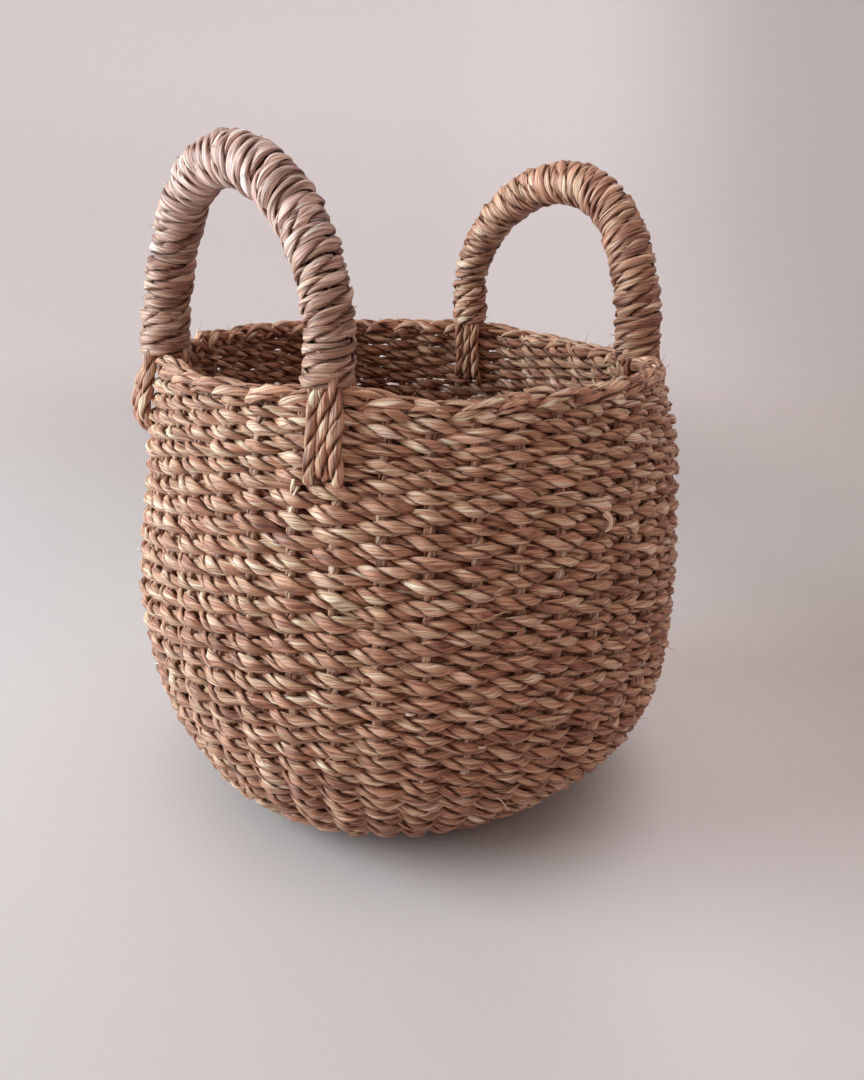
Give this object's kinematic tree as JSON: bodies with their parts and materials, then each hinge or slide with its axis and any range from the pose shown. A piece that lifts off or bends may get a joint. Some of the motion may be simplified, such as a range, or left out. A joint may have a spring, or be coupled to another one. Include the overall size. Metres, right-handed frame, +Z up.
{
  "type": "seagrass basket",
  "caption": "Round-bellied open basket woven from twisted seagrass rope, with a flat woven base and two upright wrapped loop handles on opposite sides of the rim.",
  "frame": {"origin": "centre of the flat underside, on the surface that the basket stands on", "axes": "+Z up, one handle over -Y and the other over +Y, +X to the right when seen from -Y"},
  "size_m": [0.2999, 0.297, 0.3477],
  "materials": {
    "seagrass_weft": "two-ply twisted seagrass rope, matt to slightly waxy, warm pinkish brown",
    "seagrass_stake": "thin two-ply seagrass cord, matt, a little darker than the weft",
    "seagrass_base": "flat rows of two-ply seagrass rope, matt",
    "seagrass_border": "folded stake ends over twisted rope, matt, paler where worn",
    "seagrass_cord": "two-ply twisted seagrass cord, matt",
    "seagrass_wrap": "flat seagrass leaves wound tightly round the cords, slightly waxy"
  },
  "bodies": {
    "root": {"weft_course_01": "seagrass_weft", "weft_course_02": "seagrass_weft", "weft_course_03": "seagrass_weft", "weft_course_04": "seagrass_weft", "weft_course_05": "seagrass_weft", "weft_course_06": "seagrass_weft", "weft_course_07": "seagrass_weft", "weft_course_08": "seagrass_weft", "weft_course_09": "seagrass_weft", "weft_course_10": "seagrass_weft", "weft_course_11": "seagrass_weft", "weft_course_12": "seagrass_weft", "weft_course_13": "seagrass_weft", "weft_course_14": "seagrass_weft", "weft_course_15": "seagrass_weft", "weft_course_16": "seagrass_weft", "weft_course_17": "seagrass_weft", "weft_course_18": "seagrass_weft", "weft_course_19": "seagrass_weft", "weft_course_20": "seagrass_weft", "weft_course_21": "seagrass_weft", "weft_course_22": "seagrass_weft", "weft_course_23": "seagrass_weft", "weft_course_24": "seagrass_weft", "weft_course_25": "seagrass_weft", "weft_course_26": "seagrass_weft", "weft_course_27": "seagrass_weft", "weft_course_28": "seagrass_weft", "weft_course_29": "seagrass_weft", "stakes": "seagrass_stake", "base_mat_lower": "seagrass_base", "base_mat_upper": "seagrass_base", "rim_border": "seagrass_border", "handle_left_cord_outer_a": "seagrass_cord", "handle_left_cord_outer_b": "seagrass_cord", "handle_left_cord_outer_c": "seagrass_cord", "handle_left_cord_inner_a": "seagrass_cord", "handle_left_cord_inner_b": "seagrass_cord", "handle_left_cord_inner_c": "seagrass_cord", "handle_left_cord_middle": "seagrass_cord", "handle_left_wrap": "seagrass_wrap", "handle_right_cord_outer_a": "seagrass_cord", "handle_right_cord_outer_b": "seagrass_cord", "handle_right_cord_outer_c": "seagrass_cord", "handle_right_cord_inner_a": "seagrass_cord", "handle_right_cord_inner_b": "seagrass_cord", "handle_right_cord_inner_c": "seagrass_cord", "handle_right_cord_middle": "seagrass_cord", "handle_right_wrap": "seagrass_wrap"}
  },
  "joints": []
}
